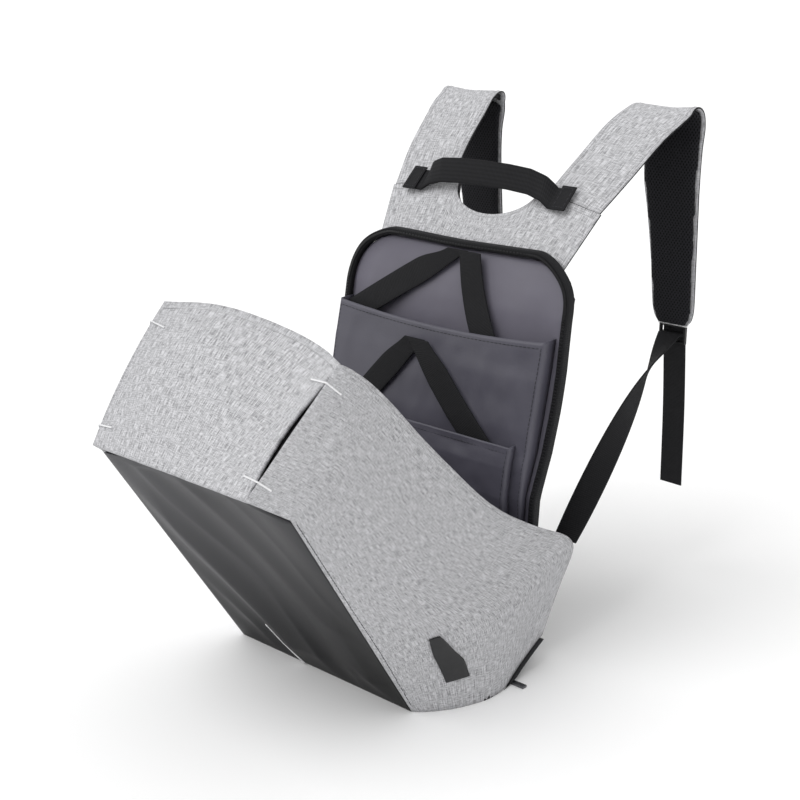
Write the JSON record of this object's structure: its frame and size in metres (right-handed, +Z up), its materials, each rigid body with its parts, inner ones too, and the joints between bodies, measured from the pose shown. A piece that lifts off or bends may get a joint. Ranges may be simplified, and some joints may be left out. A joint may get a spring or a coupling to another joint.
{
  "type": "backpack",
  "caption": "Backpack with a wide clamshell shell standing open on its flat base, a lined back with two pockets, two padded shoulder straps and a grab handle",
  "frame": {"origin": "On the ground, in the middle of the flat base", "axes": "+X is the wearer's right, +Y runs from the bag's front to the wearer's side, +Z is up"},
  "size_m": [0.3301, 0.6133, 0.5335],
  "materials": {
    "coated": "soft sheen",
    "lining": "satin",
    "melange": "matt melange weave",
    "mesh": "matt spacer mesh",
    "metal": "satin",
    "plastic": "satin",
    "pocket": "satin",
    "trim": "matt",
    "webbing": "satin weave"
  },
  "bodies": {
    "root": {"side_panel_right": "melange", "side_panel_left": "melange", "cap_panel": "melange", "front_panel": "coated", "base_panel": "coated", "back_board": "lining", "back_lining": "lining", "back_pad": "mesh", "zip_band": "webbing", "laptop_pocket": "pocket", "small_pocket": "pocket", "yoke": "melange", "yoke_pad": "mesh", "strap_cover_right": "melange", "strap_cover_left": "melange", "strap_pad_right": "mesh", "strap_pad_left": "mesh", "handle": "webbing", "handle_tab_right": "webbing", "handle_tab_left": "webbing", "lower_webbing_right": "webbing", "tail_webbing_right": "webbing", "adjuster_right": "plastic", "lower_webbing_left": "webbing", "tail_webbing_left": "webbing", "adjuster_left": "plastic", "upper_webbing_left": "webbing", "upper_webbing_right": "webbing", "front_webbing_left": "webbing", "front_webbing_right": "webbing", "cable_patch": "plastic", "bright_strip": "trim", "upper_tack_right": "trim", "upper_tack_left": "trim", "lower_tack_right": "trim", "lower_tack_left": "trim", "zip_pull": "metal"}
  },
  "joints": []
}
